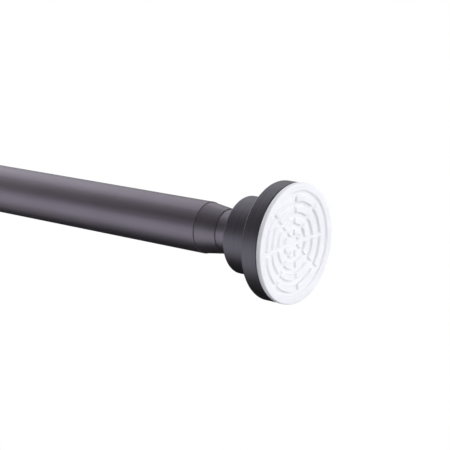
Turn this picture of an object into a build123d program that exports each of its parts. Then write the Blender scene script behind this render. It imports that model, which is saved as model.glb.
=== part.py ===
from build123d import *
from dataclasses import dataclass
from math import sqrt
import os

# Spring tension shower curtain rod, in millimetres. The rod lies along X with its middle at the
# origin: the slimmer tube's end is at +X, the wider tube's end at -X, and +Z is up.

# Tubes
outer_tube_diameter = 25.4
outer_tube_wall = 0.6
outer_tube_length = 999.9
tube_gap = 1.5
inner_tube_wall = 0.6
neck_length = 10.8
closed_end_gap = 19.7

# Tapered collar in the mouth of the outer tube
collar_taper_length = 11.7
collar_shoulder_step = 0.25
collar_lip_wall = 0.3
collar_spigot_length = 20.0

# Stepped cups
drum_diameter = 37.2
drum_length = 18.0
flange_diameter = 56.3
flange_width = 8.8
cup_wall = 1.8
cup_edge_radius = 0.8
socket_wall = 1.4
web_thickness = 3.0
screw_head_room = 3.3

# Rubber pads: a raised rim round a dished floor, with rings of raised blocks
pad_overhang = 0.15
pad_lip_thickness = 2.4
pad_plug_depth = 4.1
pad_rim_width = 3.5
pad_rim_draft = 0.3
pad_edge_radius = 0.5
dish_edge_depth = 1.2
dish_centre_depth = 3.2
block_rings = 4
block_sectors = 8
block_width = 2.85
block_height = 1.25
block_inner_radius = 3.8
block_edge_gap = 1.95
block_root = 0.4
channel_width = 2.0
channel_start_angle = 4.0

# Plugs in the tube ends, and the screws that hold the cups on them
plug_length = 20.0
plug_chamfer = 0.8
cup_screw_diameter = 4.0
cup_screw_length = 17.0
cup_screw_head_diameter = 8.0
cup_screw_head_height = 2.4

# Guide plug in the inner end of the inner tube, and the glide ring on its journal
guide_spigot_length = 16.0
guide_flange_thickness = 2.5
guide_flange_inset = 1.2
glide_ring_width = 10.0
glide_ring_wall = 2.7
glide_slit_width = 2.0

# Plunger shaft and its stop
shaft_diameter = 6.0
shaft_end_length = 4.0
stop_washer_thickness = 1.0
stop_washer_rim = 3.5
clip_thickness = 0.8
clip_groove_depth = 0.8
clip_rim = 2.4

# Tension spring and its two seats
spring_length = 60.0
spring_turns = 11
spring_wire_diameter = 1.4
spring_bore_gap = 2.6
seat_thickness = 1.0
seat_rim = 1.2

# Twist lock: an eccentric hub, and a split ring on it
hub_flange_thickness = 6.0
hub_flange_gap = 2.4
hub_seat_depth = 10.0
cam_offset = 1.5
cam_pin_wall = 1.5
cam_ring_width = 12.0
cam_slit_width = 1.5
cam_groove_count = 20
cam_groove_diameter = 0.9
cam_washer_rim = 2.0
cam_washer_thickness = 1.0
cam_screw_diameter = 3.0
cam_screw_length = 7.0
cam_screw_head_diameter = 6.0
cam_screw_head_height = 2.0

# Cross recess in the screw heads, as shares of the head
recess_span_share = 0.6
recess_width_share = 0.16
recess_depth_share = 0.55

# Clearances
press_gap = 0.04
slide_gap = 0.3
journal_gap = 0.1
shaft_gap = 0.08
cam_wall_gap = 0.7
end_float = 0.3

# Radii that the tubes set
outer_tube_radius = outer_tube_diameter / 2
outer_bore_radius = outer_tube_radius - outer_tube_wall
inner_tube_radius = outer_bore_radius - tube_gap
inner_bore_radius = inner_tube_radius - inner_tube_wall

# Stations from a pad's outer face, inwards along the rod
flange_back = pad_lip_thickness + flange_width
drum_back = flange_back + drum_length
pad_back = pad_lip_thickness + pad_plug_depth
web_front = pad_back + screw_head_room + cup_screw_head_height
tube_end = web_front + web_thickness

# Places along X: the outer half first, then the lock and the plunger from the rear forwards
overall_length = drum_back + neck_length + collar_taper_length + outer_tube_length + tube_end
face_x = overall_length / 2
collar_lip_x = face_x - drum_back - neck_length
outer_tube_front_x = collar_lip_x - collar_taper_length
outer_tube_rear_x = outer_tube_front_x - outer_tube_length
cam_screw_seat_x = outer_tube_rear_x + plug_length + closed_end_gap + cam_screw_head_height
cam_rear_x = cam_screw_seat_x + cam_washer_thickness
cam_front_x = cam_rear_x + cam_ring_width + 2 * end_float
hub_front_x = cam_front_x + hub_flange_thickness
spring_rear_x = hub_front_x + seat_thickness
spring_front_x = spring_rear_x + spring_length
guide_rear_x = spring_front_x + seat_thickness
journal_rear_x = guide_rear_x + guide_flange_thickness
inner_tube_rear_x = journal_rear_x + glide_ring_width + 2 * end_float
inner_tube_length = face_x - tube_end - inner_tube_rear_x
guide_front_x = inner_tube_rear_x + guide_spigot_length
stop_washer_x = guide_front_x + end_float
clip_x = stop_washer_x + stop_washer_thickness
shaft_front_x = clip_x + clip_thickness + shaft_end_length
shaft_rear_x = hub_front_x - hub_seat_depth

# Radii of what fits inside the tubes
collar_bore_radius = inner_tube_radius + slide_gap
collar_lip_radius = collar_bore_radius + collar_lip_wall
collar_shoulder_radius = outer_tube_radius - collar_shoulder_step
glide_ring_radius = outer_bore_radius - slide_gap
glide_bore_radius = glide_ring_radius - glide_ring_wall
journal_radius = glide_bore_radius - journal_gap
guide_flange_radius = outer_bore_radius - guide_flange_inset
shaft_radius = shaft_diameter / 2
guide_bore_radius = shaft_radius + shaft_gap
spring_wire_radius = spring_wire_diameter / 2
spring_radius = shaft_radius + spring_bore_gap + spring_wire_radius
seat_radius = spring_radius + spring_wire_radius + seat_rim
hub_flange_radius = outer_bore_radius - hub_flange_gap
cam_pin_radius = shaft_radius + cam_offset + cam_pin_wall
cam_bore_radius = cam_pin_radius + journal_gap
cam_ring_radius = outer_bore_radius - cam_wall_gap

# Radii of the cups and pads
drum_radius = drum_diameter / 2
flange_radius = flange_diameter / 2
mouth_radius = flange_radius - cup_wall
pad_radius = flange_radius + pad_overhang
pad_plug_radius = mouth_radius - press_gap
rim_inner_radius = pad_radius - pad_rim_width
floor_radius = rim_inner_radius - pad_rim_draft
dish_rise = dish_centre_depth - dish_edge_depth
dish_sphere_radius = (floor_radius**2 + dish_rise**2) / (2 * dish_rise)
block_outer_radius = floor_radius - block_edge_gap
block_pitch = (block_outer_radius - block_inner_radius - block_width) / (block_rings - 1)
cup_screw_radius = cup_screw_diameter / 2
cam_screw_radius = cam_screw_diameter / 2


@dataclass(frozen=True)
class End:
    """One end of the rod: its name, the way its pad faces along X, and the tube that it closes."""

    name: str
    facing: int
    tube_radius: float
    bore_radius: float

    @property
    def section(self):
        """Section plane at the pad's face: its X runs inwards along the rod, its Y is the radius."""
        return Plane((self.facing * face_x, 0, 0), x_dir=(-self.facing, 0, 0), z_dir=(0, self.facing, 0))

    def cross_plane(self, station):
        """Plane across the rod at a station, facing out of this end."""
        origin = (self.facing * (face_x - station), 0, 0)
        return Plane(origin, x_dir=(0, self.facing, 0), z_dir=(self.facing, 0, 0))


front = End("front", 1, inner_tube_radius, inner_bore_radius)
rear = End("rear", -1, outer_tube_radius, outer_bore_radius)


def across(x):
    """Plane across the rod at x, facing +X."""
    return Plane((x, 0, 0), x_dir=(0, 1, 0), z_dir=(1, 0, 0))


def floor_depth(radius):
    """Depth of the pad's dished floor below its rim: a shallow sphere, deepest at the centre."""
    return dish_centre_depth - dish_sphere_radius + sqrt(dish_sphere_radius**2 - radius**2)


os.makedirs("parts", exist_ok=True)

# Outer tube
with BuildPart() as outer_tube:
    with BuildSketch(across(outer_tube_rear_x)):
        Circle(outer_tube_radius)
        Circle(outer_bore_radius, mode=Mode.SUBTRACT)
    extrude(amount=outer_tube_length)
outer_tube.part.label = "outer_tube"
export_step(outer_tube.part, "parts/outer_tube.step")

# Inner tube
with BuildPart() as inner_tube:
    with BuildSketch(across(inner_tube_rear_x)):
        Circle(inner_tube_radius)
        Circle(inner_bore_radius, mode=Mode.SUBTRACT)
    extrude(amount=inner_tube_length)
inner_tube.part.label = "inner_tube"
export_step(inner_tube.part, "parts/inner_tube.step")

# Tapered collar: a spigot inside the outer tube, and a taper that stands out of it
with BuildPart() as tapered_collar:
    with BuildSketch(Plane.XZ):
        with BuildLine():
            Polyline(
                (collar_lip_x, collar_bore_radius),
                (collar_lip_x, collar_lip_radius),
                (outer_tube_front_x, collar_shoulder_radius),
                (outer_tube_front_x, outer_bore_radius - press_gap),
                (outer_tube_front_x - collar_spigot_length, outer_bore_radius - press_gap),
                (outer_tube_front_x - collar_spigot_length, collar_bore_radius),
                close=True,
            )
        make_face()
    revolve(axis=Axis.X)
tapered_collar.part.label = "tapered_collar"
export_step(tapered_collar.part, "parts/tapered_collar.step")

for end in (front, rear):
    # Stepped cup: a drum and a wider flange, hollow, with a socket for the tube and a web for the screw
    with BuildPart() as cup:
        with BuildSketch(end.section) as outside:
            with BuildLine():
                Polyline(
                    (pad_lip_thickness, 0),
                    (pad_lip_thickness, flange_radius),
                    (flange_back, flange_radius),
                    (flange_back, drum_radius),
                    (drum_back, drum_radius),
                    (drum_back, 0),
                    close=True,
                )
            make_face()
            rim_corners = outside.vertices().filter_by(lambda corner: corner.Y > end.tube_radius)
            fillet(rim_corners, min(cup_edge_radius, cup_wall / 2))
        revolve(axis=Axis.X)
        with BuildSketch(end.section):
            with BuildLine():
                Polyline(
                    (pad_lip_thickness, 0),
                    (pad_lip_thickness, mouth_radius),
                    (flange_back - cup_wall, mouth_radius),
                    (flange_back - cup_wall, drum_radius - cup_wall),
                    (drum_back - cup_wall, drum_radius - cup_wall),
                    (drum_back - cup_wall, 0),
                    close=True,
                )
            make_face()
        revolve(axis=Axis.X, mode=Mode.SUBTRACT)
        with BuildSketch(end.cross_plane(drum_back - cup_wall / 2)):
            Circle(end.tube_radius + press_gap + socket_wall)
        extrude(amount=drum_back - cup_wall / 2 - web_front)
        with BuildSketch(end.cross_plane(drum_back)):
            Circle(end.tube_radius + press_gap)
        extrude(amount=drum_back - tube_end, mode=Mode.SUBTRACT)
        with BuildSketch(end.cross_plane(tube_end)):
            Circle(cup_screw_radius + slide_gap)
        extrude(amount=web_thickness, mode=Mode.SUBTRACT)
    cup.part.label = f"{end.name}_cup"
    export_step(cup.part, f"parts/{end.name}_cup.step")

    # Rings of raised blocks, cut into sectors by straight channels
    with BuildPart() as tread:
        for ring in range(block_rings):
            inside = block_inner_radius + ring * block_pitch
            beyond = inside + block_width
            with BuildSketch(end.section):
                with BuildLine():
                    Polyline(
                        (floor_depth(inside) + block_root, inside),
                        (floor_depth(inside) - block_height, inside),
                        (floor_depth(beyond) - block_height, beyond),
                        (floor_depth(beyond) + block_root, beyond),
                        close=True,
                    )
                make_face()
            revolve(axis=Axis.X)
        with BuildSketch(end.cross_plane(pad_back)):
            with PolarLocations(0, block_sectors, channel_start_angle):
                Rectangle(pad_radius, channel_width, align=(Align.MIN, Align.CENTER))
        extrude(amount=pad_back, mode=Mode.SUBTRACT)

    # Rubber pad: a lip over the cup's edge, a plug in its mouth, and a dish with the raised blocks
    with BuildPart() as pad:
        with BuildSketch(end.section) as outside:
            with BuildLine():
                ThreePointArc(
                    (dish_centre_depth, 0),
                    (floor_depth(floor_radius / 2), floor_radius / 2),
                    (dish_edge_depth, floor_radius),
                )
                Polyline(
                    (dish_edge_depth, floor_radius),
                    (0, rim_inner_radius),
                    (0, pad_radius),
                    (pad_lip_thickness, pad_radius),
                    (pad_lip_thickness, pad_plug_radius),
                    (pad_back, pad_plug_radius),
                    (pad_back, 0),
                    (dish_centre_depth, 0),
                )
            make_face()
            fillet(outside.vertices().group_by(Axis.X)[0], pad_edge_radius)
        revolve(axis=Axis.X)
        add(tread.part)
    pad.part.label = f"{end.name}_pad"
    export_step(pad.part, f"parts/{end.name}_pad.step")

    # Plug in the tube's end, with a pilot hole for the screw
    with BuildPart() as plug:
        with BuildSketch(end.cross_plane(tube_end + plug_length)):
            Circle(end.bore_radius - press_gap)
        extrude(amount=plug_length)
        chamfer(plug.edges().group_by(Axis.X)[0 if end is front else -1], plug_chamfer)
        with BuildSketch(end.cross_plane(web_front + cup_screw_length + end_float)):
            Circle(cup_screw_radius + press_gap)
        extrude(amount=cup_screw_length + end_float - web_thickness, mode=Mode.SUBTRACT)
    plug.part.label = f"{end.name}_plug"
    export_step(plug.part, f"parts/{end.name}_plug.step")

    # Pan-head screw that holds the cup on the plug
    with BuildPart() as cup_screw:
        with BuildSketch(end.cross_plane(web_front + cup_screw_length)):
            Circle(cup_screw_radius)
        extrude(amount=cup_screw_length)
        with BuildSketch(end.cross_plane(web_front)):
            Circle(cup_screw_head_diameter / 2)
        extrude(amount=cup_screw_head_height)
        fillet(cup_screw.faces().sort_by(Axis.X)[-1 if end is front else 0].edges(), cup_screw_head_height / 3)
        with BuildSketch(end.cross_plane(web_front - cup_screw_head_height)):
            with PolarLocations(0, 2, angular_range=180):
                Rectangle(
                    recess_span_share * cup_screw_head_diameter,
                    recess_width_share * cup_screw_head_diameter,
                )
        extrude(amount=-recess_depth_share * cup_screw_head_height, mode=Mode.SUBTRACT)
    cup_screw.part.label = f"{end.name}_cup_screw"
    export_step(cup_screw.part, f"parts/{end.name}_cup_screw.step")

# Guide plug: a spigot in the inner tube, a journal for the glide ring, and an end flange
with BuildPart() as guide_plug:
    with BuildSketch(Plane.XZ):
        with BuildLine():
            Polyline(
                (guide_front_x, guide_bore_radius),
                (guide_front_x, inner_bore_radius - press_gap - plug_chamfer),
                (guide_front_x - plug_chamfer, inner_bore_radius - press_gap),
                (inner_tube_rear_x, inner_bore_radius - press_gap),
                (inner_tube_rear_x, journal_radius),
                (journal_rear_x, journal_radius),
                (journal_rear_x, guide_flange_radius),
                (guide_rear_x, guide_flange_radius),
                (guide_rear_x, guide_bore_radius),
                close=True,
            )
        make_face()
    revolve(axis=Axis.X)
guide_plug.part.label = "guide_plug"
export_step(guide_plug.part, "parts/guide_plug.step")

# Glide ring: split at the bottom so that it springs over the guide plug's flange
with BuildPart() as glide_ring:
    with BuildSketch(across(journal_rear_x + end_float)):
        Circle(glide_ring_radius)
        Circle(glide_bore_radius, mode=Mode.SUBTRACT)
        with Locations((0, -glide_ring_radius)):
            Rectangle(glide_slit_width, 2 * glide_ring_wall + slide_gap, mode=Mode.SUBTRACT)
    extrude(amount=glide_ring_width)
glide_ring.part.label = "glide_ring"
export_step(glide_ring.part, "parts/glide_ring.step")

# Plunger shaft, with a groove for the stop clip
with BuildPart() as plunger_shaft:
    with BuildSketch(across(shaft_rear_x)):
        Circle(shaft_radius)
    extrude(amount=shaft_front_x - shaft_rear_x)
    chamfer(plunger_shaft.edges().group_by(Axis.X)[-1], plug_chamfer)
    with BuildSketch(across(clip_x)):
        Circle(shaft_radius + slide_gap)
        Circle(shaft_radius - clip_groove_depth, mode=Mode.SUBTRACT)
    extrude(amount=clip_thickness, mode=Mode.SUBTRACT)
plunger_shaft.part.label = "plunger_shaft"
export_step(plunger_shaft.part, "parts/plunger_shaft.step")

# Stop washer between the clip and the guide plug
with BuildPart() as stop_washer:
    with BuildSketch(across(stop_washer_x)):
        Circle(shaft_radius + stop_washer_rim)
        Circle(shaft_radius + shaft_gap, mode=Mode.SUBTRACT)
    extrude(amount=stop_washer_thickness)
stop_washer.part.label = "stop_washer"
export_step(stop_washer.part, "parts/stop_washer.step")

# Stop clip: an open ring sprung into the shaft's groove
with BuildPart() as stop_clip:
    with BuildSketch(across(clip_x)):
        Circle(shaft_radius + clip_rim)
        Circle(shaft_radius - clip_groove_depth + press_gap, mode=Mode.SUBTRACT)
        with Locations((0, -shaft_radius - clip_rim)):
            Rectangle(shaft_radius, 2 * (shaft_radius + clip_rim), mode=Mode.SUBTRACT)
    extrude(amount=clip_thickness)
stop_clip.part.label = "stop_clip"
export_step(stop_clip.part, "parts/stop_clip.step")

# Spring seats: thin washers at the two ends of the spring
for name, seat_x in (("front_spring_seat", spring_front_x), ("rear_spring_seat", hub_front_x)):
    with BuildPart() as seat:
        with BuildSketch(across(seat_x)):
            Circle(seat_radius)
            Circle(guide_bore_radius, mode=Mode.SUBTRACT)
        extrude(amount=seat_thickness)
    seat.part.label = name
    export_step(seat.part, f"parts/{name}.step")

# Tension spring round the shaft
spring_rise = spring_length - spring_wire_diameter
with BuildPart() as tension_spring:
    with BuildLine() as coil:
        Helix(
            spring_rise / spring_turns,
            spring_rise,
            spring_radius,
            center=(spring_rear_x + spring_wire_radius, 0, 0),
            direction=(1, 0, 0),
        )
    with BuildSketch(Plane(coil.line @ 0, z_dir=coil.line % 0)):
        Circle(spring_wire_radius)
    sweep(is_frenet=True)
tension_spring.part.label = "tension_spring"
export_step(tension_spring.part, "parts/tension_spring.step")

# Cam hub: a flange that takes the spring, and a pin set off the rod's axis
with BuildPart() as cam_hub:
    with BuildSketch(across(hub_front_x)):
        Circle(hub_flange_radius)
    extrude(amount=-hub_flange_thickness)
    with BuildSketch(across(cam_rear_x)):
        with Locations((0, cam_offset)):
            Circle(cam_pin_radius)
    extrude(amount=cam_front_x - cam_rear_x)
    with BuildSketch(across(hub_front_x)):
        Circle(shaft_radius + press_gap)
    extrude(amount=-hub_seat_depth, mode=Mode.SUBTRACT)
    with BuildSketch(across(cam_rear_x)):
        with Locations((0, cam_offset)):
            Circle(cam_screw_radius + press_gap)
    extrude(amount=cam_screw_length + end_float - cam_washer_thickness, mode=Mode.SUBTRACT)
cam_hub.part.label = "cam_hub"
export_step(cam_hub.part, "parts/cam_hub.step")

# Cam ring: round outside on the rod's axis, bored off it for the pin, split at its thin side
with BuildPart() as cam_ring:
    with BuildSketch(across(cam_rear_x + end_float)):
        Circle(cam_ring_radius)
        with Locations((0, cam_offset)):
            Circle(cam_bore_radius, mode=Mode.SUBTRACT)
        with PolarLocations(cam_ring_radius, cam_groove_count):
            Circle(cam_groove_diameter / 2, mode=Mode.SUBTRACT)
        with Locations((0, cam_offset)):
            Rectangle(
                cam_slit_width, 2 * cam_ring_radius, align=(Align.CENTER, Align.MIN), mode=Mode.SUBTRACT
            )
    extrude(amount=cam_ring_width)
cam_ring.part.label = "cam_ring"
export_step(cam_ring.part, "parts/cam_ring.step")

# Cam washer, which keeps the ring on the pin
with BuildPart() as cam_washer:
    with BuildSketch(across(cam_rear_x)):
        with Locations((0, cam_offset)):
            Circle(cam_pin_radius + cam_washer_rim)
            Circle(cam_screw_radius + shaft_gap, mode=Mode.SUBTRACT)
    extrude(amount=-cam_washer_thickness)
cam_washer.part.label = "cam_washer"
export_step(cam_washer.part, "parts/cam_washer.step")

# Cam screw, through the washer into the pin
with BuildPart() as cam_screw:
    with BuildSketch(across(cam_screw_seat_x)):
        with Locations((0, cam_offset)):
            Circle(cam_screw_radius)
    extrude(amount=cam_screw_length)
    with BuildSketch(across(cam_screw_seat_x)):
        with Locations((0, cam_offset)):
            Circle(cam_screw_head_diameter / 2)
    extrude(amount=-cam_screw_head_height)
    fillet(cam_screw.faces().sort_by(Axis.X)[0].edges(), cam_screw_head_height / 3)
    with BuildSketch(across(cam_screw_seat_x - cam_screw_head_height)):
        with Locations((0, cam_offset)):
            with PolarLocations(0, 2, angular_range=180):
                Rectangle(
                    recess_span_share * cam_screw_head_diameter,
                    recess_width_share * cam_screw_head_diameter,
                )
    extrude(amount=recess_depth_share * cam_screw_head_height, mode=Mode.SUBTRACT)
cam_screw.part.label = "cam_screw"
export_step(cam_screw.part, "parts/cam_screw.step")
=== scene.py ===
"""Looks of a spring tension curtain rod: satin bronze tubes, stepped cups, white rubber wall pads.

Everything is in metres in the row's frame: the rod lies along X, its slimmer tube's end at +X, +Z up.
"""

import logging
import math
from dataclasses import dataclass
from enum import Enum
from typing import Any, ClassVar, Union

import bpy
import numpy as np
from mathutils import Matrix, Vector
from numpy.typing import NDArray


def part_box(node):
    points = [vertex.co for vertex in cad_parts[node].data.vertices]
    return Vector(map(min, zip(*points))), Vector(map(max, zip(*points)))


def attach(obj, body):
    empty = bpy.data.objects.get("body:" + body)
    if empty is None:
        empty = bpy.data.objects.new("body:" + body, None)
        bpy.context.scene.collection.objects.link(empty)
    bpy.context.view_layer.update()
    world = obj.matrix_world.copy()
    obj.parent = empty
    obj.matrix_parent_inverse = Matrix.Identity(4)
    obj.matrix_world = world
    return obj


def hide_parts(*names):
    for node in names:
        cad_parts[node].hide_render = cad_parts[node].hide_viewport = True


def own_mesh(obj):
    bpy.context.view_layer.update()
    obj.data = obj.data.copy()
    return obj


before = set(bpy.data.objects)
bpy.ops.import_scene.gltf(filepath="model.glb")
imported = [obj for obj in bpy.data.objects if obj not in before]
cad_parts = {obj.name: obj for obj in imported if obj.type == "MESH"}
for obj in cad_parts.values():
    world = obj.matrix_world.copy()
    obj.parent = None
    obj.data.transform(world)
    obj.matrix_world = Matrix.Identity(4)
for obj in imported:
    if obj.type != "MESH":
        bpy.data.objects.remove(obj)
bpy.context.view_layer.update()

Array = NDArray[np.float64]
Colour = tuple[float, float, float]
Point = tuple[float, float, float]
Face = tuple[int, int, int, int]
MM = 0.001
WHITE = (1.0, 1.0, 1.0, 1.0)
SOFT_LIGHT: Colour = (0.97, 1.0, 1.055)
COOL_LIGHT: Colour = (0.95, 1.0, 1.14)
WARM_LIGHT: Colour = (1.04, 0.99, 1.0)
log = logging.getLogger("curtain_rod")


class Value:
    """A number in a shader; Python arithmetic on it adds Math nodes to the same tree."""

    def __init__(self, kit: "ShaderKit", socket: bpy.types.NodeSocket) -> None:
        """Wraps one output socket of a tree."""
        self.kit = kit
        self.socket = socket

    def _math(self, operation: str, first: "Feed", second: "Feed") -> "Value":
        """Adds one Math node and wraps its output."""
        return self.kit.value("ShaderNodeMath", {"operation": operation}, {0: first, 1: second})

    def __add__(self, other: "Feed") -> "Value":
        """Sum."""
        return self._math("ADD", self, other)

    __radd__ = __add__

    def __sub__(self, other: "Feed") -> "Value":
        """Difference."""
        return self._math("SUBTRACT", self, other)

    def __rsub__(self, other: "Feed") -> "Value":
        """Difference with a plain number first."""
        return self._math("SUBTRACT", other, self)

    def __mul__(self, other: "Feed") -> "Value":
        """Product."""
        return self._math("MULTIPLY", self, other)

    __rmul__ = __mul__

    def larger(self, other: "Feed") -> "Value":
        """The larger of two numbers."""
        return self._math("MAXIMUM", self, other)

    def eased(self, low: float, high: float) -> "Value":
        """Rises smoothly from 0 at low to 1 at high.

        Args:
            low: where the rise starts.
            high: where it ends.

        Returns:
            The eased number.
        """
        sockets = {"Value": self, "From Min": low, "From Max": high}
        return self.kit.value("ShaderNodeMapRange", {"interpolation_type": "SMOOTHSTEP"}, sockets)


Feed = Union[Value, bpy.types.NodeSocket, float, tuple]


class ShaderKit:
    """Adds nodes to one material or world."""

    def __init__(self, tree: bpy.types.NodeTree) -> None:
        """Takes the tree and empties it."""
        self.tree = tree
        self.tree.nodes.clear()

    def add(self, kind: str, settings: dict[str, Any], sockets: dict[Any, Feed]) -> bpy.types.Node:
        """Adds one node.

        Args:
            kind: the node's type.
            settings: its own settings, set first.
            sockets: values or links for its inputs, by name or number.

        Returns:
            The new node.
        """
        node = self.tree.nodes.new(kind)
        for name, setting in settings.items():
            setattr(node, name, setting)
        for key, feed in sockets.items():
            socket = feed.socket if isinstance(feed, Value) else feed
            if isinstance(socket, bpy.types.NodeSocket):
                self.tree.links.new(socket, node.inputs[key])
            else:
                node.inputs[key].default_value = socket
        return node

    def value(self, kind: str, settings: dict[str, Any], sockets: dict[Any, Feed], output: Any = 0) -> Value:
        """Adds one node and wraps one of its outputs as a number.

        Args:
            kind: the node's type.
            settings: its own settings.
            sockets: values or links for its inputs.
            output: the name or number of the output to wrap.

        Returns:
            The wrapped output.
        """
        return Value(self, self.add(kind, settings, sockets).outputs[output])

    def noise(self, place: bpy.types.NodeSocket, scale: float, detail: float) -> Value:
        """Adds smooth noise.

        Args:
            place: where in the pattern each point lies.
            scale: swells of the pattern in a metre.
            detail: finer layers on the swells.

        Returns:
            The noise, about 0 to 1.
        """
        sockets = {"Vector": place, "Scale": scale, "Detail": detail}
        return self.value("ShaderNodeTexNoise", {}, sockets)

    def mixed(self, share: Value, first: Colour, second: Colour) -> bpy.types.NodeSocket:
        """Mixes two colours.

        Args:
            share: 0 for the first colour, 1 for the second.
            first: linear colour.
            second: linear colour.

        Returns:
            The mixed colour's socket.
        """
        sockets = {0: share, 6: (*first, 1.0), 7: (*second, 1.0)}
        return self.add("ShaderNodeMix", {"data_type": "RGBA"}, sockets).outputs[2]

    def white_to_sight(self) -> Value:
        """Tells the rays that see from the rays that light.

        Returns:
            1 for camera, glossy and transmission rays, 0 for the rays that carry light to matt surfaces.
        """
        path = self.add("ShaderNodeLightPath", {}, {})
        camera = Value(self, path.outputs["Is Camera Ray"])
        glossy = Value(self, path.outputs["Is Glossy Ray"])
        return camera.larger(glossy).larger(Value(self, path.outputs["Is Transmission Ray"]))


def blank_material(name: str) -> tuple[bpy.types.Material, ShaderKit]:
    """Makes an empty material.

    Args:
        name: the material's name.
    """
    material = bpy.data.materials.new(name)
    material.use_nodes = True
    return material, ShaderKit(material.node_tree)


def linked(name: str, data: bpy.types.ID) -> bpy.types.Object:
    """Makes an object at the origin and links it into the scene.

    Args:
        name: the object's name.
        data: its mesh, lamp or camera.

    Returns:
        The new object.
    """
    made = bpy.data.objects.new(name, data)
    bpy.context.scene.collection.objects.link(made)
    return made


class Lay(Enum):
    """How a finish's marks lie on a piece: the pattern's stretch along X, Y and Z."""

    ALONG = (0.02, 1.0, 1.0)
    ROUND = (1.0, 0.01, 0.01)
    ALL_OVER = (1.0, 1.0, 1.0)


@dataclass(frozen=True)
class Finish:
    """One surface finish.

    Attributes:
        BROAD_SCALE: broad clouds of colour in a metre.
        BROAD_DETAIL: finer layers on the clouds, and on the grain.
        MARK_DETAIL: finer layers on the marks.
        MARK_SHARE: share of the marks in the colour; the clouds have the rest.
        COLOUR_RISE: where the colour starts to turn light, and where it is all light.
        GRAIN_SHARE: share of the grain in the bump; the marks have the rest.
        slot: the record's material slot that it is the look of.
        dark: linear colour at the low end of the marks.
        light: linear colour at the high end.
        roughness: middle roughness.
        roughness_spread: how far the marks move it.
        metallic: share of metal in the shader.
        lay: how the marks lie.
        mark_scale: marks in a metre, across their lay.
        grain_scale: grains in a metre.
        grain_height: height of the grain, in metres.
        specular: strength of the surface gloss.
        edge_gloss: share of the gloss that is left where the surface is seen at a slant.
        glow_depth: how far light wanders under the surface, in metres; 0 where it is opaque.
    """

    BROAD_SCALE: ClassVar[float] = 45.0
    BROAD_DETAIL: ClassVar[float] = 2.0
    MARK_DETAIL: ClassVar[float] = 4.0
    MARK_SHARE: ClassVar[float] = 0.65
    COLOUR_RISE: ClassVar[tuple[float, float]] = (0.3, 0.7)
    GRAIN_SHARE: ClassVar[float] = 0.8

    slot: str
    dark: Colour
    light: Colour
    roughness: float
    roughness_spread: float
    metallic: float
    lay: Lay
    mark_scale: float
    grain_scale: float
    grain_height: float
    specular: float = 0.5
    edge_gloss: float = 1.0
    glow_depth: float = 0.0

    @property
    def label(self) -> str:
        """Name of the finish's material."""
        return f"{self.slot}_finish"

    def material(self) -> bpy.types.Material:
        """Gives the finish's material, made the first time that it is asked for."""
        return bpy.data.materials.get(self.label) or self.mixed()

    def mixed(self) -> bpy.types.Material:
        """Makes the material: marks drive colour and roughness, fine grain drives the bump.

        Returns:
            The new material.
        """
        material, kit = blank_material(self.label)
        place = kit.add("ShaderNodeTexCoord", {}, {}).outputs["Object"]
        laid = kit.add("ShaderNodeMapping", {}, {"Vector": place, "Scale": self.lay.value}).outputs[0]
        marks = kit.noise(laid, self.mark_scale, self.MARK_DETAIL)
        broad = kit.noise(place, self.BROAD_SCALE, self.BROAD_DETAIL)
        share = (self.MARK_SHARE * marks + (1.0 - self.MARK_SHARE) * broad).eased(*self.COLOUR_RISE)
        grain = kit.noise(place, self.grain_scale, self.BROAD_DETAIL)
        height = self.GRAIN_SHARE * grain + (1.0 - self.GRAIN_SHARE) * marks
        bump_sockets = {"Height": height, "Strength": 1.0, "Distance": self.grain_height}
        bump = kit.add("ShaderNodeBump", {}, bump_sockets)
        shader_sockets = {
            "Base Color": kit.mixed(share, self.dark, self.light),
            "Roughness": self.roughness + self.roughness_spread * (marks - 0.5),
            "Metallic": self.metallic,
            "Specular IOR Level": self.specular,
            "Specular Tint": (self.edge_gloss, self.edge_gloss, self.edge_gloss, 1.0),
            "Subsurface Weight": 1.0 if self.glow_depth else 0.0,
            "Subsurface Radius": (1.0, 1.0, 1.0),
            "Subsurface Scale": self.glow_depth,
            "Normal": bump.outputs["Normal"],
        }
        shader = kit.add("ShaderNodeBsdfPrincipled", {}, shader_sockets)
        kit.add("ShaderNodeOutputMaterial", {}, {"Surface": shader.outputs[0]})
        return material


TUBE_COAT = Finish(
    slot="coated_steel",
    dark=(0.11, 0.0955, 0.1115),
    light=(0.122, 0.1065, 0.125),
    roughness=0.42,
    roughness_spread=0.05,
    metallic=0.8,
    lay=Lay.ALONG,
    mark_scale=900.0,
    grain_scale=2600.0,
    grain_height=6e-6,
    edge_gloss=0.5,
)
COLLAR_COAT = Finish(
    slot="collar_plastic",
    dark=(0.126, 0.1105, 0.126),
    light=(0.142, 0.1245, 0.1425),
    roughness=0.42,
    roughness_spread=0.05,
    metallic=0.8,
    lay=Lay.ROUND,
    mark_scale=1400.0,
    grain_scale=2600.0,
    grain_height=6e-6,
    edge_gloss=0.5,
)
CUP_COAT = Finish(
    slot="cup_plastic",
    dark=(0.072, 0.067, 0.0765),
    light=(0.0905, 0.084, 0.0955),
    roughness=0.42,
    roughness_spread=0.08,
    metallic=0.8,
    lay=Lay.ROUND,
    mark_scale=1600.0,
    grain_scale=2200.0,
    grain_height=8e-6,
    edge_gloss=0.5,
)
WHITE_RUBBER = Finish(
    slot="white_rubber",
    dark=(0.899, 0.877, 0.892),
    light=(0.919, 0.897, 0.906),
    roughness=0.55,
    roughness_spread=0.1,
    metallic=0.0,
    lay=Lay.ALL_OVER,
    mark_scale=300.0,
    grain_scale=3000.0,
    grain_height=1e-5,
    specular=0.4,
    glow_depth=1.3e-3,
)
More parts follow.
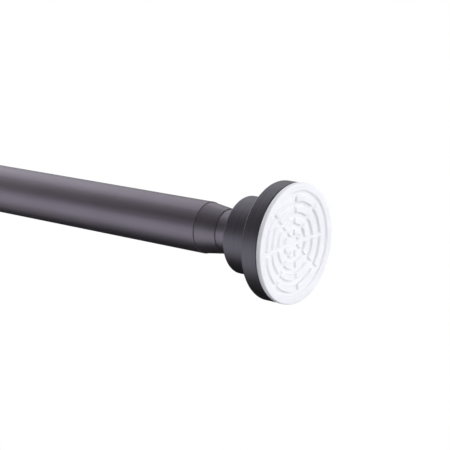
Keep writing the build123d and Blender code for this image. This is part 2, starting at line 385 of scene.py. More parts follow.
BLACK_NYLON = Finish(
    slot="plug_plastic",
    dark=(0.024, 0.024, 0.026),
    light=(0.036, 0.036, 0.038),
    roughness=0.5,
    roughness_spread=0.12,
    metallic=0.0,
    lay=Lay.ALL_OVER,
    mark_scale=400.0,
    grain_scale=2500.0,
    grain_height=1.5e-5,
)
NATURAL_ACETAL = Finish(
    slot="natural_plastic",
    dark=(0.74, 0.72, 0.655),
    light=(0.81, 0.79, 0.735),
    roughness=0.38,
    roughness_spread=0.1,
    metallic=0.0,
    lay=Lay.ALL_OVER,
    mark_scale=260.0,
    grain_scale=2000.0,
    grain_height=1e-5,
)
ZINC_PLATE = Finish(
    slot="zinc_steel",
    dark=(0.55, 0.55, 0.53),
    light=(0.68, 0.68, 0.66),
    roughness=0.3,
    roughness_spread=0.16,
    metallic=1.0,
    lay=Lay.ALL_OVER,
    mark_scale=900.0,
    grain_scale=3500.0,
    grain_height=6e-6,
)
SPRING_WIRE = Finish(
    slot="spring_steel",
    dark=(0.26, 0.25, 0.24),
    light=(0.37, 0.36, 0.35),
    roughness=0.34,
    roughness_spread=0.14,
    metallic=1.0,
    lay=Lay.ALL_OVER,
    mark_scale=1100.0,
    grain_scale=4000.0,
    grain_height=8e-6,
)


@dataclass(frozen=True)
class Surface:
    """A grid of points that closes round its columns.

    Attributes:
        grid: points, rows by columns by 3.
        rows_close: whether the last row joins the first; if not, each end closes in a fan about its middle.
    """

    grid: Array
    rows_close: bool

    def faces(self) -> list[list[int]]:
        """Joins each point to the next in its row and its column, and fans the open ends.

        Returns:
            Faces as lists of point numbers.
        """
        rows, columns, _ = self.grid.shape
        here = np.arange(rows * columns).reshape(rows, columns)
        below = np.roll(here, -1, axis=0)
        quads = np.stack([here, below, np.roll(below, -1, axis=1), np.roll(here, -1, axis=1)], axis=2)
        if self.rows_close:
            return quads.reshape(-1, 4).tolist()
        first, last = here[0], here[-1]
        start = np.full(columns, rows * columns)
        first_fan = np.stack([start, first, np.roll(first, -1)], axis=1)
        last_fan = np.stack([last, start + 1, np.roll(last, -1)], axis=1)
        return quads[:-1].reshape(-1, 4).tolist() + first_fan.tolist() + last_fan.tolist()

    def piece(self, name: str) -> bpy.types.Object:
        """Makes a smooth-shaded object of the surface, at the origin.

        Args:
            name: the object's name.

        Returns:
            The new object.
        """
        points = self.grid.reshape(-1, 3)
        if not self.rows_close:
            points = np.vstack([points, self.grid[0].mean(axis=0), self.grid[-1].mean(axis=0)])
        mesh = bpy.data.meshes.new(name)
        mesh.from_pydata(points.tolist(), [], self.faces())
        mesh.validate()
        mesh.shade_smooth()
        return linked(name, mesh)


def rounded(
    corners: Array, radii: Array, closed: bool, arc_steps: int = 7, support_share: float = 0.3
) -> Array:
    """Rounds the corners of an outline.

    A circle of the corner's radius touches both sides at radius / tan(half angle) from the corner, with
    its centre at radius / sin(half angle) along the bisector. The arc runs between the two touching
    directions by spherical interpolation, and a support point on each side keeps the flats flat where they
    meet it.

    Args:
        corners: points of the outline, n by 2.
        radii: rounding at each corner, n.
        closed: whether the outline closes; if not, its two end points stay as they are.
        arc_steps: points on each arc.
        support_share: how far the support points stand from the arc, in radii.

    Returns:
        The rounded outline, m by 2.
    """
    before = np.roll(corners, 1, axis=0) - corners
    after = np.roll(corners, -1, axis=0) - corners
    before_length = np.linalg.norm(before, axis=1, keepdims=True)
    after_length = np.linalg.norm(after, axis=1, keepdims=True)
    before, after = before / before_length, after / after_length
    half = np.arccos(np.clip(np.sum(before * after, axis=1, keepdims=True), -1, 1)) / 2
    radius = radii[:, None]
    touch = radius / np.tan(half)
    bisector = (before + after) / np.linalg.norm(before + after, axis=1, keepdims=True)
    centre = corners + bisector * radius / np.sin(half)
    start = (corners + before * touch - centre) / radius
    end = (corners + after * touch - centre) / radius
    sweep = (np.pi - 2 * half)[:, None]
    step = np.linspace(0, 1, arc_steps)[None, :, None]
    blend = np.sin((1 - step) * sweep) * start[:, None] + np.sin(step * sweep) * end[:, None]
    arcs = centre[:, None] + radius[:, None] * blend / np.sin(sweep)
    support = support_share * radius
    lead = corners + before * np.minimum(touch + support, (touch + before_length / 2) / 2)
    trail = corners + after * np.minimum(touch + support, (touch + after_length / 2) / 2)
    points = np.concatenate([lead[:, None], arcs, trail[:, None]], axis=1)
    if closed:
        return points.reshape(-1, 2)
    return np.vstack([corners[:1], points[1:-1].reshape(-1, 2), corners[-1:]])


def divided(outline: Array, longest: float) -> Array:
    """Adds points to a closed outline, at even steps of the length round it, beside those that it has.

    Args:
        outline: points of the outline, n by 2.
        longest: length of a step, which no stretch is longer than.

    Returns:
        The outline with its new points, m by 2.
    """
    ring = np.vstack([outline, outline[:1]])
    run = np.concatenate([[0.0], np.cumsum(np.linalg.norm(np.diff(ring, axis=0), axis=1))])
    stops = np.unique(np.concatenate([run[:-1], np.arange(0, run[-1], longest)]))
    return np.stack([np.interp(stops, run, ring[:, 0]), np.interp(stops, run, ring[:, 1])], axis=1)


def turned(outline: Array, sides: int) -> Surface:
    """Turns a closed outline about X: each (x, r) gives the ring (x, r cos t, r sin t).

    Args:
        outline: points (x, radius), in either direction.
        sides: columns round the turn.

    Returns:
        The closed surface, facing outwards.
    """
    x, radius = outline.T
    area = np.sum(x * np.roll(radius, -1) - np.roll(x, -1) * radius)
    x, radius = (x, radius) if area > 0 else (x[::-1], radius[::-1])
    angle = np.linspace(0, 2 * np.pi, sides, endpoint=False)
    depth = np.broadcast_to(x[:, None], (len(x), sides))
    grid = np.stack([depth, radius[:, None] * np.cos(angle), radius[:, None] * np.sin(angle)], axis=2)
    return Surface(grid, True)


def eased(values: Array, low: float, high: float) -> Array:
    """Rises from 0 at low to 1 at high as 3 t^2 - 2 t^3."""
    share = np.clip((values - low) / (high - low), 0, 1)
    return share * share * (3 - 2 * share)


def put_on(piece: bpy.types.Object, finish: Finish, body: str, node: str) -> None:
    """Dresses a piece, lets it ride on its body and stand for its CAD node.

    Args:
        piece: the new object.
        finish: its finish.
        body: the body that it moves with.
        node: the CAD node that it replaces.
    """
    piece.data.materials.append(finish.material())
    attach(piece, body)
    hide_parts(node)
    log.info("%s stands for %s on %s: %d faces", piece.name, node, body, len(piece.data.polygons))


@dataclass(frozen=True)
class End:
    """One end of the rod.

    Attributes:
        name: front or rear.
        facing: 1 where the pad faces +X, -1 where it faces -X.
        tube_radius: radius of the tube that ends here.
        body: the body that the fitting moves with.
    """

    name: str
    facing: int
    tube_radius: float
    body: str

    @property
    def face_x(self) -> float:
        """Distance of the pad's face from the middle of the rod."""
        low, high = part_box(f"{self.name}_pad")
        return max(abs(low.x), abs(high.x))

    def placed(self, surface: Surface) -> Surface:
        """Turns a surface made for the +X end half a turn about Z if it belongs at the other end."""
        return Surface(surface.grid * np.array([self.facing, self.facing, 1.0]), surface.rows_close)


@dataclass
class Tubes:
    """The two steel tubes, and the tapered collar that the slimmer one slides in."""

    coat: Finish = TUBE_COAT
    collar_coat: Finish = COLLAR_COAT
    outer_radius: float = 12.7 * MM
    inner_radius: float = 10.6 * MM
    wall: float = 0.6 * MM
    tube_edge: float = 0.22 * MM
    collar_bore: float = 10.66 * MM
    collar_lip: float = 10.9 * MM
    collar_shoulder: float = 12.45 * MM
    collar_spigot_radius: float = 12.06 * MM
    shoulder_edge: float = 0.2 * MM
    collar_edge: float = 0.1 * MM
    lip_edge: float = 0.2 * MM
    bore_edge: float = 0.05 * MM
    sides: int = 160
    longest: float = 40 * MM

    def tube(self, node: str, radius: float, body: str) -> None:
        """Builds one tube as a closed wall section turned about X.

        Args:
            node: the CAD node that it replaces.
            radius: its outer radius.
            body: the body that it moves with.
        """
        low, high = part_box(node)
        bore = radius - self.wall
        corners = np.array([(low.x, bore), (high.x, bore), (high.x, radius), (low.x, radius)])
        outline = divided(rounded(corners, np.full(4, self.tube_edge), True), self.longest)
        put_on(turned(outline, self.sides).piece(f"{node}_drawn"), self.coat, body, node)

    def collar(self) -> None:
        """Builds the collar: a spigot in the outer tube, a shoulder at its mouth, a taper to the lip."""
        low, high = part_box("tapered_collar")
        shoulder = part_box("outer_tube")[1].x
        corners = np.array(
            [
                (high.x, self.collar_bore),
                (high.x, self.collar_lip),
                (shoulder, self.collar_shoulder),
                (shoulder, self.collar_spigot_radius),
                (low.x, self.collar_spigot_radius),
                (low.x, self.collar_bore),
            ]
        )
        edge = self.collar_edge
        radii = np.array([self.bore_edge, self.lip_edge, self.shoulder_edge, edge, edge, edge])
        collar = turned(rounded(corners, radii, True), self.sides)
        put_on(collar.piece("tapered_collar_moulded"), self.collar_coat, "outer_half", "tapered_collar")

    def build(self) -> None:
        """Builds both tubes and the collar."""
        self.tube("outer_tube", self.outer_radius, "outer_half")
        self.tube("inner_tube", self.inner_radius, "inner_half")
        self.collar()


@dataclass
class SteppedCup:
    """A hollow stepped cup: a drum, a wider flange, a socket for the tube and a web for the screw."""

    end: End
    coat: Finish = CUP_COAT
    flange_radius: float = 28.15 * MM
    drum_radius: float = 18.6 * MM
    flange_front: float = 2.4 * MM
    flange_back: float = 11.2 * MM
    drum_back: float = 29.2 * MM
    wall: float = 1.8 * MM
    socket_wall: float = 1.4 * MM
    socket_gap: float = 0.04 * MM
    web_front: float = 12.2 * MM
    tube_end: float = 15.2 * MM
    screw_hole: float = 2.3 * MM
    rim_edge: float = 0.8 * MM
    inside_edge: float = 0.2 * MM
    outside_corners: int = 4
    sides: int = 192

    def outline(self) -> Array:
        """Gives the cup's wall section, from the pad's face inwards, with its corners rounded.

        Returns:
            The closed outline as (x, radius).
        """
        socket = self.end.tube_radius + self.socket_gap
        boss = socket + self.socket_wall
        drum_inside = self.drum_radius - self.wall
        mouth = self.flange_radius - self.wall
        stations = [
            (self.flange_front, self.flange_radius),
            (self.flange_back, self.flange_radius),
            (self.flange_back, self.drum_radius),
            (self.drum_back, self.drum_radius),
            (self.drum_back, socket),
            (self.tube_end, socket),
            (self.tube_end, self.screw_hole),
            (self.web_front, self.screw_hole),
            (self.web_front, boss),
            (self.drum_back - self.wall, boss),
            (self.drum_back - self.wall, drum_inside),
            (self.flange_back - self.wall, drum_inside),
            (self.flange_back - self.wall, mouth),
            (self.flange_front, mouth),
        ]
        corners = np.array(stations) * (-1, 1) + (self.end.face_x, 0)
        radii = np.full(len(corners), self.inside_edge)
        radii[:self.outside_corners] = self.rim_edge
        return rounded(corners, radii, True)

    def build(self) -> None:
        """Builds and dresses the cup."""
        node = f"{self.end.name}_cup"
        cup = self.end.placed(turned(self.outline(), self.sides))
        put_on(cup.piece(f"{node}_moulded"), self.coat, self.end.body, node)


@dataclass
class WallPad:
    """A rubber pad: a rim round a dished floor, with rings of raised blocks parted by straight channels.

    The lip, the dish and the back are depths below the pad's face. Rows run round the pad and columns
    across it. The wall's run is half its slope's width, and corner and gap steps are shares of what they
    divide. Crowding is how much of half a sector the columns beside a channel may fill near the middle.
    """

    end: End
    rubber: Finish = WHITE_RUBBER
    radius: float = 28.3 * MM
    lip: float = 2.4 * MM
    plug_radius: float = 26.31 * MM
    back: float = 6.5 * MM
    rim_inside: float = 24.8 * MM
    floor_radius: float = 24.5 * MM
    dish_edge: float = 1.2 * MM
    dish_centre: float = 3.2 * MM
    rim_edge: float = 0.5 * MM
    root_edge: float = 0.35 * MM
    back_edge: float = 0.25 * MM
    seat_edge: float = 0.125 * MM
    rings: int = 4
    sectors: int = 8
    first_ring: float = 3.8 * MM
    ring_pitch: float = 5.3 * MM
    block_width: float = 2.85 * MM
    block_height: float = 1.25 * MM
    block_corner: float = 0.45 * MM
    wall_run: float = 0.14 * MM
    channel: float = 2.0 * MM
    first_channel: float = math.radians(4.0)
    channel_row: float = 0.45
    middle_radius: float = 0.4 * MM
    back_middle: float = 0.5 * MM
    wall_rows: int = 7
    middle_rows: int = 5
    outside_rows: int = 2
    block_columns: int = 14
    corner_steps: tuple[float, float] = (0.3, 0.7)
    gap_steps: tuple[float, float] = (0.33, 0.67)
    crowding: float = 0.97

    def floor_depth(self, radius: Array) -> Array:
        """Gives the depth of the dished floor, a shallow sphere: centre depth - R + sqrt(R^2 - r^2).

        Args:
            radius: distances r from the pad's middle.

        Returns:
            The depth below the rim at each distance.
        """
        rise = self.dish_centre - self.dish_edge
        sphere = (self.floor_radius**2 + rise**2) / (2 * rise)
        return self.dish_centre - sphere + np.sqrt(sphere**2 - radius**2)

    def wall_steps(self) -> Array:
        """Places of the rows across a block's wall and over its corner, from the wall's middle inwards."""
        wall = np.linspace(-1, 1, self.wall_rows) * self.wall_run
        return np.concatenate([wall, self.wall_run + self.block_corner * np.array(self.corner_steps)])

    def floor_radii(self) -> Array:
        """Radii of the floor's rows: close together on the blocks' walls, wider on tops and gaps.

        Returns:
            The radii, from the middle out.
        """
        inner = self.wall_steps()
        half = self.block_width / 2
        one_ring = np.concatenate([inner, [half], self.block_width - inner[::-1]])
        rings = self.first_ring + self.ring_pitch * np.arange(self.rings)[:, None] + one_ring
        gaps = rings[:-1, -1:] + (rings[1:, :1] - rings[:-1, -1:]) * np.array(self.gap_steps)
        middle = np.linspace(self.middle_radius, rings[0, 0], self.middle_rows + 1)[:-1]
        outside = np.linspace(rings[-1, -1], self.floor_radius - self.root_edge, self.outside_rows + 2)[1:-1]
        return np.sort(np.concatenate([middle, rings.ravel(), gaps.ravel(), outside]))

    def angles(self, radius: Array) -> Array:
        """Angles of the columns at each row, so that columns follow the channels' straight edges.

        A column at distance c from a channel's middle line stands at angle asin(c / r) from it; towards the
        middle of the pad the distances shrink with the radius, so that columns never cross. Between two
        channels the columns are spread evenly.

        Args:
            radius: radius of each row.

        Returns:
            Angles, rows by columns.
        """
        half = self.channel / 2
        side = np.concatenate([[self.channel_row * half], half + self.wall_steps()])
        pitch = 2 * np.pi / self.sectors
        shrink = np.minimum(1.0, self.crowding * radius * math.sin(pitch / 2) / side[-1])
        lean = np.arcsin(shrink[:, None] * side / radius[:, None])
        spread = np.linspace(0, 1, self.block_columns + 2)[1:-1]
        between = lean[:, -1:] + spread * (pitch - 2 * lean[:, -1:])
        one_sector = np.concatenate([0 * lean[:, :1], lean, between, pitch - lean[:, ::-1]], axis=1)
        starts = self.first_channel + pitch * np.arange(self.sectors)
        return (starts[None, :, None] + one_sector[:, None, :]).reshape(len(radius), -1)

    def block_share(self, radius: Array, angle: Array) -> Array:
        """How far each point of the floor is raised, from 0 on the floor to 1 on a block's top.

        The distance to the nearest ring edge and the distance to the nearest channel edge make a distance to
        the block's outline, with rounded corners, and the wall rises smoothly across it.

        Args:
            radius: radius of each row.
            angle: angles, rows by columns.

        Returns:
            Shares, rows by columns.
        """
        pitch = 2 * np.pi / self.sectors
        middle = self.first_ring + self.block_width / 2
        ring = np.clip(np.round((radius - middle) / self.ring_pitch), 0, self.rings - 1)
        across = self.block_width / 2 - np.abs(radius - middle - ring * self.ring_pitch)
        turn = np.mod(angle - self.first_channel, pitch)
        aside = radius[:, None] * np.sin(np.minimum(turn, pitch - turn)) - self.channel / 2
        over_ring = self.block_corner - across[:, None]
        over_channel = self.block_corner - aside
        outside = np.hypot(np.maximum(over_ring, 0), np.maximum(over_channel, 0))
        inside = np.minimum(np.maximum(over_ring, over_channel), 0)
        return eased(self.block_corner - outside - inside, -self.wall_run, self.wall_run)

    def surface(self) -> Surface:
        """Builds the pad as rows from the middle of its face, over rim and lip, to the middle of its back.

        Returns:
            The closed surface for the +X end.
        """
        floor_radius = self.floor_radii()
        floor_depth = self.floor_depth(floor_radius)
        corners = np.array(
            [
                (floor_depth[-1], floor_radius[-1]),
                (self.dish_edge, self.floor_radius),
                (0.0, self.rim_inside),
                (0.0, self.radius),
                (self.lip, self.radius),
                (self.lip, self.plug_radius),
                (self.back, self.plug_radius),
                (self.back, self.back_middle),
            ]
        )
        edge = self.back_edge
        rim_edges = [self.root_edge, self.rim_edge, self.rim_edge]
        radii = np.array([edge, *rim_edges, edge, self.seat_edge, edge, edge])
        rim = rounded(corners, radii, False)[1:]
        radius = np.concatenate([floor_radius, rim[:, 1]])
        depth = np.concatenate([floor_depth, rim[:, 0]])
        angle = self.angles(radius)
        raised = self.block_height * self.block_share(radius, angle)
        raised[len(floor_radius):] = 0.0
        x = self.end.face_x - depth[:, None] + raised
        grid = np.stack([x, radius[:, None] * np.cos(angle), radius[:, None] * np.sin(angle)], axis=2)
        return Surface(grid, False)

    def build(self) -> None:
        """Builds and dresses the pad."""
        node = f"{self.end.name}_pad"
        pad = self.end.placed(self.surface()).piece(f"{node}_rubber")
        put_on(pad, self.rubber, self.end.body, node)


@dataclass
class TensionSpring:
    """The coil round the plunger shaft, wound closer at its two ends."""

    wire: Finish = SPRING_WIRE
    wire_radius: float = 0.7 * MM
    coil_radius: float = 6.3 * MM
    turns: int = 11
    end_pitch: float = 2.45 * MM
    opening_turns: tuple[float, float] = (0.6, 1.6)
    stroke: float = 25 * MM
    steps_per_turn: int = 36
    wire_sides: int = 12

    def surface(self) -> Surface:
        """Carries a circle along a helix: its pitch eases from close ends to an open middle.

        Returns:
            The wire's surface, with closed ends.
        """
        low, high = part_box("tension_spring")
        turn = np.linspace(0, self.turns, self.turns * self.steps_per_turn + 1)
        share = eased(np.minimum(turn, self.turns - turn), *self.opening_turns)
        rise = high.x - low.x - 2 * self.wire_radius
        wound = np.concatenate([[0.0], np.cumsum((share[1:] + share[:-1]) / 2 * np.diff(turn))])
        extra = (rise - self.end_pitch * self.turns) / wound[-1]
        pitch = self.end_pitch + extra * share
        climb = self.end_pitch * turn + extra * wound
        angle = 2 * np.pi * turn
        radius = self.coil_radius
        out = np.stack([np.zeros_like(angle), np.cos(angle), np.sin(angle)], axis=1)
        along = np.stack([pitch / (2 * np.pi), -radius * out[:, 2], radius * out[:, 1]], axis=1)
        along /= np.linalg.norm(along, axis=1, keepdims=True)
        side = np.cross(along, out)
        centre = radius * out
        centre[:, 0] = low.x + self.wire_radius + climb
        around = np.linspace(0, 2 * np.pi, self.wire_sides, endpoint=False)
        ring = np.cos(around)[None, :, None] * out[:, None] - np.sin(around)[None, :, None] * side[:, None]
        return Surface(centre[:, None] + self.wire_radius * ring, False)

    def build(self) -> None:
        """Builds the spring, which rides on the inner half, with a mesh of its own."""
        spring = self.surface().piece("tension_spring_coil")
        put_on(spring, self.wire, "inner_half", "tension_spring")
        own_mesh(spring)


@dataclass
class CrossScrew:
    """A pan-head screw with a cross recess and a rolled thread."""

    node: str
    body: str
    facing: int
    axis_z: float
    radius: float
    head_radius: float
    head_height: float
    pitch: float
    thread_depth: float
    plate: Finish = ZINC_PLATE
    recess_span_share: float = 0.6
    recess_width_share: float = 0.16
    recess_depth_share: float = 0.55
    recess_edge_share: float = 0.02
    head_edge: float = 0.1 * MM
    neck: float = 0.05 * MM
    middle_share: float = 0.1
    tip_length: float = 1.2 * MM
    tip_taper: float = 0.5
    sides: int = 96
    top_rows: int = 14
    rows_per_turn: int = 10

    def recess(self, radius: Array, angle: Array) -> Array:
        """Gives the depth of the cross recess: full in two crossed bars, eased to nothing at their edges.

        Args:
            radius: distance of each point from the screw's axis.
            angle: its angle round the axis.

        Returns:
            The depth at each point.
        """
        y, z = np.abs(radius * np.cos(angle)), np.abs(radius * np.sin(angle))
        long_side, short_side = np.maximum(y, z), np.minimum(y, z)
        reach = self.recess_span_share * self.head_radius - long_side
        width = self.recess_width_share * self.head_radius - short_side
        edge = self.recess_edge_share * self.head_radius
        depth = self.recess_depth_share * self.head_height
        return depth * eased(np.minimum(reach, width), -edge, edge)

    def surface(self, length: float) -> Surface:
        """Builds the screw as rows from the middle of its head, round the head and along to its tip.

        The thread's crest follows a helix: the radius falls by the thread's depth as a rounded wave of the
        distance along the shank over the pitch, less the angle over a full turn.

        Args:
            length: length of the screw, head included.

        Returns:
            The closed surface, head towards +X, from x = 0 at the head's top.
        """
        round_over = self.head_height / 3
        corners = np.array(
            [
                (0.0, self.head_radius / 2),
                (0.0, self.head_radius),
                (self.head_height, self.head_radius),
                (self.head_height, self.radius),
            ]
        )
        head = rounded(corners, np.array([round_over, round_over, self.head_edge, self.head_edge]), False)
        top = np.linspace(self.middle_share, 1.0, self.top_rows)[:, None] * (0.0, self.head_radius / 2)
        count = int((length - self.head_height) / self.pitch * self.rows_per_turn)
        shank_depth = np.linspace(self.head_height + self.neck, length, count)
        shank = np.stack([shank_depth, np.full(count, self.radius)], axis=1)
        rows = np.vstack([top, head[1:-1], shank])
        angle = np.linspace(0, 2 * np.pi, self.sides, endpoint=False)[None, :]
        depth, radius = rows[:, :1], np.repeat(rows[:, 1:], self.sides, axis=1)
        on_shank = np.arange(len(rows))[:, None] >= len(rows) - count
        wave = 0.5 + 0.5 * np.cos(2 * np.pi * depth / self.pitch - angle)
        taper = 1 - self.tip_taper * eased(depth, length - self.tip_length, length)
        threaded = (radius - self.thread_depth * wave) * taper
        sunk = self.recess(radius, angle) * (depth <= 0)
        radius = np.where(on_shank, threaded, radius)
        y, z = radius * np.cos(angle), radius * np.sin(angle)
        return Surface(np.stack([-(depth + sunk), y, z], axis=2), False)

    def build(self) -> None:
        """Builds the screw where its CAD node lies."""
        low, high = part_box(self.node)
        made = self.surface(high.x - low.x)
        grid = made.grid * np.array([self.facing, self.facing, 1.0])
        head_top = high.x if self.facing > 0 else low.x
        screw = Surface(grid + np.array([head_top, 0.0, self.axis_z]), False)
        put_on(screw.piece(f"{self.node}_threaded"), self.plate, self.body, self.node)


@dataclass
class InnerWorks:
    """The pieces that keep their CAD shape: plugs, glide, plunger and twist lock."""

    nylon: Finish = BLACK_NYLON
    acetal: Finish = NATURAL_ACETAL
    plate: Finish = ZINC_PLATE
    wire: Finish = SPRING_WIRE

    def dress(self) -> None:
        """Gives each carried-over CAD node its finish."""
        dressed = {
            self.nylon: ("front_plug", "rear_plug", "guide_plug"),
            self.acetal: ("glide_ring", "cam_hub", "cam_ring"),
            self.plate: (
                "front_spring_seat",
                "rear_spring_seat",
                "plunger_shaft",
                "stop_washer",
                "cam_washer",
            ),
            self.wire: ("stop_clip",),
        }
        for finish, nodes in dressed.items():
            for node in nodes:
                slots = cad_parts[node].data.materials
                slots.clear()
                slots.append(finish.material())
                log.info("%s keeps its CAD shape, in %s", node, finish.slot)


@dataclass(frozen=True)
class Softbox:
    """A rectangular lamp that looks at a point.

    Attributes:
        name: the lamp's name.
        place: where it stands.
        aim: the point that it faces.
        size: width and height.
        glow: radiance of its face.
        tint: colour of its light.
    """

    name: str
    place: Point
    aim: Point
    size: tuple[float, float]
    glow: float
    tint: Colour = SOFT_LIGHT

    def build(self) -> None:
        """Adds the lamp: an area lamp's power is pi times its glow times its area."""
        lamp = bpy.data.lights.new(self.name, "AREA")
        lamp.shape = "RECTANGLE"
        lamp.color = self.tint
        lamp.size, lamp.size_y = self.size
        lamp.energy = math.pi * self.glow * self.size[0] * self.size[1]
        made = linked(self.name, lamp)
        made.location = self.place
        made.rotation_euler = (Vector(self.aim) - Vector(self.place)).to_track_quat("-Z", "Y").to_euler()
        made.visible_camera = False
        log.info("lamp %s", self.name)


@dataclass
class Studio:
    """Camera, pale floor, white wall behind, black card below, dim room, world and soft lamps.

    Attributes:
        azimuth: the camera's turn about Z, in radians.
        elevation: its angle above the rod.
        tilt: its roll.
        lens: its focal length, in millimetres.
        sensor: width of its picture, in millimetres.
        sight: how far it sees.
        pad_ahead: distance of the front pad's middle in front of it.
        pad_right: how far that point is to the right of the picture's middle.
        pad_below: how far it is below the picture's middle.
        paper_shade: grey of the floor and the wall where the lamps light them.
        floor_z: height of the floor.
        floor_reach: half its width, and half the width and height of the dim room.
        floor_white: share of white that the floor has near the rod.
        floor_near: distance from the rod where that share starts to rise.
        floor_far: distance from which it is all white.
        wall_y: place of the wall behind.
        wall_reach: half its width.
        wall_top: height of its top.
        card_z: height of the black card.
        card_x: its left and right ends.
        card_near: its near edge at the left and at the right.
        card_far: its far edge.
        card_shade: its grey.
        ambient: strength of the dim room and of the world's light.
        lamps: the soft lamps.
    """

    azimuth: float = math.radians(38.16)
    elevation: float = math.radians(11.81)
    tilt: float = math.radians(1.294)
    lens: float = 103.54
    sensor: float = 36.0
    sight: float = 200.0
    pad_ahead: float = 592.44 * MM
    pad_right: float = 33.127 * MM
    pad_below: float = 8.742 * MM
    paper_shade: float = 0.86
    floor_z: float = -1.9
    floor_reach: float = 60.0
    floor_white: float = 0.7
    floor_near: float = 2.6
    floor_far: float = 3.6
    wall_y: float = 4.0
    wall_reach: float = 9.0
    wall_top: float = 4.2
    card_z: float = -0.25
    card_x: tuple[float, float] = (-1.2, 0.62)
    card_near: tuple[float, float] = (0.6, -0.27)
    card_far: float = 0.7
    card_shade: float = 0.01
    ambient: float = 0.12
    lamps: tuple[Softbox, ...] = (
        Softbox("front_pad_light", (4.4, 0.0, 0.615), (0.53, 0.0, 0.0), (6.9, 4.93), 1.5),
        Softbox("front_pad_key", (1.25, 0.0, 0.75), (0.53, 0.0, 0.0), (0.9, 0.6), 2.0),
        Softbox("rear_pad_light", (-2.1, 0.0, 0.3), (-0.53, 0.0, 0.0), (2.8, 2.0), 0.45),
        Softbox("overhead", (-0.7, 0.49, 0.6), (-0.7, 0.49, 0.0), (1.69, 1.14), 2.85),
        Softbox("overhead_skirt", (-0.7, -0.24, 0.6), (-0.7, -0.24, 0.0), (1.69, 0.32), 0.6, WARM_LIGHT),
        Softbox("side_fill", (-0.53, -0.6, -0.315), (-0.53, 0.0, -0.315), (1.54, 0.85), 1.23, COOL_LIGHT),
        Softbox("side_skirt", (-0.85, -0.6, 0.21), (-0.85, 0.0, 0.21), (0.9, 0.2), 1.4, WARM_LIGHT),
        Softbox("edge_light", (-0.6, 0.05, 0.42), (0.5, 0.05, 0.42), (1.2, 0.54), 1.5, WARM_LIGHT),
    )

    def camera(self) -> None:
        """Stands the camera where the front pad's middle falls on its place in the picture."""
        turn, dip = self.azimuth, self.elevation
        ahead = Vector((-math.sin(turn) * math.cos(dip), math.cos(turn) * math.cos(dip), -math.sin(dip)))
        level = Vector((math.cos(turn), math.sin(turn), 0.0))
        right = math.cos(self.tilt) * level + math.sin(self.tilt) * level.cross(ahead)
        down = ahead.cross(right)
        pad = Vector((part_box("front_pad")[1].x, 0.0, 0.0))
        made = linked("camera", bpy.data.cameras.new("camera"))
        made.data.lens = self.lens
        made.data.sensor_width = self.sensor
        made.data.clip_end = self.sight
        made.location = pad - self.pad_right * right - self.pad_below * down - self.pad_ahead * ahead
        made.rotation_euler = Matrix((right, -down, -ahead)).transposed().to_euler()
        bpy.context.scene.camera = made

    def sheet(
        self, name: str, corners: list[Point], faces: tuple[Face, ...] = ((0, 1, 2, 3),)
    ) -> bpy.types.Object:
        """Makes one piece of the stage from flat four-cornered sheets.

        Args:
            name: the piece's name.
            corners: all its corners.
            faces: four corner numbers for each sheet.

        Returns:
            The new object.
        """
        mesh = bpy.data.meshes.new(name)
        mesh.from_pydata(corners, [], faces)
        made = linked(name, mesh)
        return made

    def paper(self, name: str, near_white: float, white_from: float, white_to: float) -> bpy.types.Material:
        """Makes pale paper that is white to sight far from the rod, and partly lit by the lamps near it.

        Args:
            name: the material's name.
            near_white: share of the white near the rod; the rest is lit and takes the rod's shadow.
            white_from: distance from the middle of the rod where the share starts to rise.
            white_to: distance from which it is all white.

        Returns:
            The new material.
        """
        material, kit = blank_material(name)
        place = kit.add("ShaderNodeTexCoord", {}, {}).outputs["Object"]
        flat = kit.add("ShaderNodeMapping", {}, {"Vector": place, "Scale": (1.0, 1.0, 0.0)}).outputs[0]
        away = kit.value("ShaderNodeVectorMath", {"operation": "LENGTH"}, {0: flat}, "Value")
        share = kit.white_to_sight() * (near_white + (1.0 - near_white) * away.eased(white_from, white_to))
        matt = kit.add("ShaderNodeBsdfDiffuse", {}, {"Color": (*[self.paper_shade] * 3, 1.0)})
        white = kit.add("ShaderNodeEmission", {}, {"Color": WHITE, "Strength": 1.0})
        mixed = kit.add("ShaderNodeMixShader", {}, {0: share, 1: matt.outputs[0], 2: white.outputs[0]})
        kit.add("ShaderNodeOutputMaterial", {}, {"Surface": mixed.outputs[0]})
        return material

    @property
    def floor_corners(self) -> list[Point]:
        """Corners of the floor, which are the foot of the dim room too."""
        reach, low = self.floor_reach, self.floor_z
        return [(-reach, -reach, low), (reach, -reach, low), (reach, reach, low), (-reach, reach, low)]

    def surroundings(self) -> None:
        """Lays the floor and stands the wall behind the rod."""
        floor = self.sheet("floor", self.floor_corners)
        paper = self.paper("floor_paper", self.floor_white, self.floor_near, self.floor_far)
        floor.data.materials.append(paper)
        side, back, low, top = self.wall_reach, self.wall_y, self.floor_z, self.wall_top
        wall_corners = [(-side, back, low), (-side, back, top), (side, back, top), (side, back, low)]
        wall = self.sheet("back_wall", wall_corners)
        wall.data.materials.append(self.paper("wall_paper", 1.0, self.floor_near, self.floor_far))

    def black_card(self) -> None:
        """Lays a black card under the rod, off camera, which keeps the underside dark, with no shadow."""
        (left, right), (near_left, near_right), low = self.card_x, self.card_near, self.card_z
        near_edge = [(left, near_left, low), (right, near_right, low)]
        far_edge = [(right, self.card_far, low), (left, self.card_far, low)]
        card = self.sheet("black_card", near_edge + far_edge)
        card.visible_camera = False
        card.visible_shadow = False
        material, kit = blank_material("black_card")
        matt = kit.add("ShaderNodeBsdfDiffuse", {}, {"Color": (*[self.card_shade] * 3, 1.0)})
        kit.add("ShaderNodeOutputMaterial", {}, {"Surface": matt.outputs[0]})
        card.data.materials.append(material)

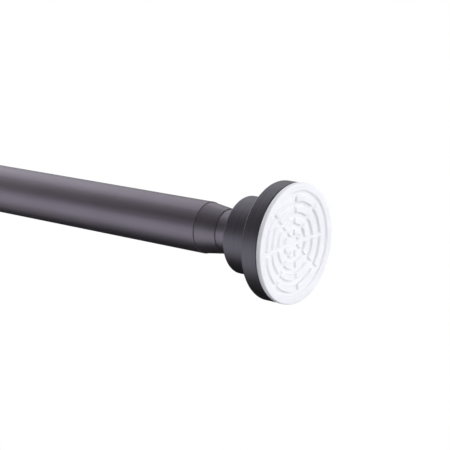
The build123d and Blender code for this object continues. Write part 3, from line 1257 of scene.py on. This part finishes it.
    def dim_room(self) -> None:
        """Closes in the stage with dim walls and ceiling, off camera, which the coats mirror."""
        foot = self.floor_corners
        head = [(x, y, self.floor_reach) for x, y, _ in foot]
        walls = ((1, 0, 4, 5), (2, 1, 5, 6), (3, 2, 6, 7), (0, 3, 7, 4))
        ceiling = (4, 7, 6, 5)
        room = self.sheet("dim_room", foot + head, (*walls, ceiling))
        room.visible_camera = False
        material, kit = blank_material("dim_room")
        dim = kit.add("ShaderNodeEmission", {}, {"Color": WHITE, "Strength": self.ambient})
        kit.add("ShaderNodeOutputMaterial", {}, {"Surface": dim.outputs[0]})
        room.data.materials.append(material)

    def world(self) -> None:
        """Sets a dim even world that is white to sight."""
        world = bpy.data.worlds.new("studio")
        world.use_nodes = True
        kit = ShaderKit(world.node_tree)
        strength = self.ambient + (1.0 - self.ambient) * kit.white_to_sight()
        background = kit.add("ShaderNodeBackground", {}, {"Color": WHITE, "Strength": strength})
        kit.add("ShaderNodeOutputWorld", {}, {"Surface": background.outputs[0]})
        bpy.context.scene.world = world

    def build(self) -> None:
        """Builds the whole stage."""
        bpy.context.scene.view_settings.view_transform = "Standard"
        self.camera()
        self.surroundings()
        self.black_card()
        self.dim_room()
        self.world()
        for lamp in self.lamps:
            lamp.build()


def main() -> None:
    """Builds the rod's pieces in order, then the stage."""
    logging.basicConfig(level=logging.INFO, format="%(name)s: %(message)s")
    tubes = Tubes()
    tubes.build()
    front = End("front", 1, tubes.inner_radius, "inner_half")
    rear = End("rear", -1, tubes.outer_radius, "outer_half")
    for end in (front, rear):
        SteppedCup(end).build()
        WallPad(end).build()
        CrossScrew(
            node=f"{end.name}_cup_screw",
            body=end.body,
            facing=end.facing,
            axis_z=0.0,
            radius=2 * MM,
            head_radius=4 * MM,
            head_height=2.4 * MM,
            pitch=1.4 * MM,
            thread_depth=0.4 * MM,
        ).build()
    CrossScrew(
        node="cam_screw",
        body="plunger",
        facing=-1,
        axis_z=1.5 * MM,
        radius=1.5 * MM,
        head_radius=3 * MM,
        head_height=2 * MM,
        pitch=1.0 * MM,
        thread_depth=0.3 * MM,
    ).build()
    TensionSpring().build()
    InnerWorks().dress()
    Studio().build()


if __name__ == "__main__":
    main()
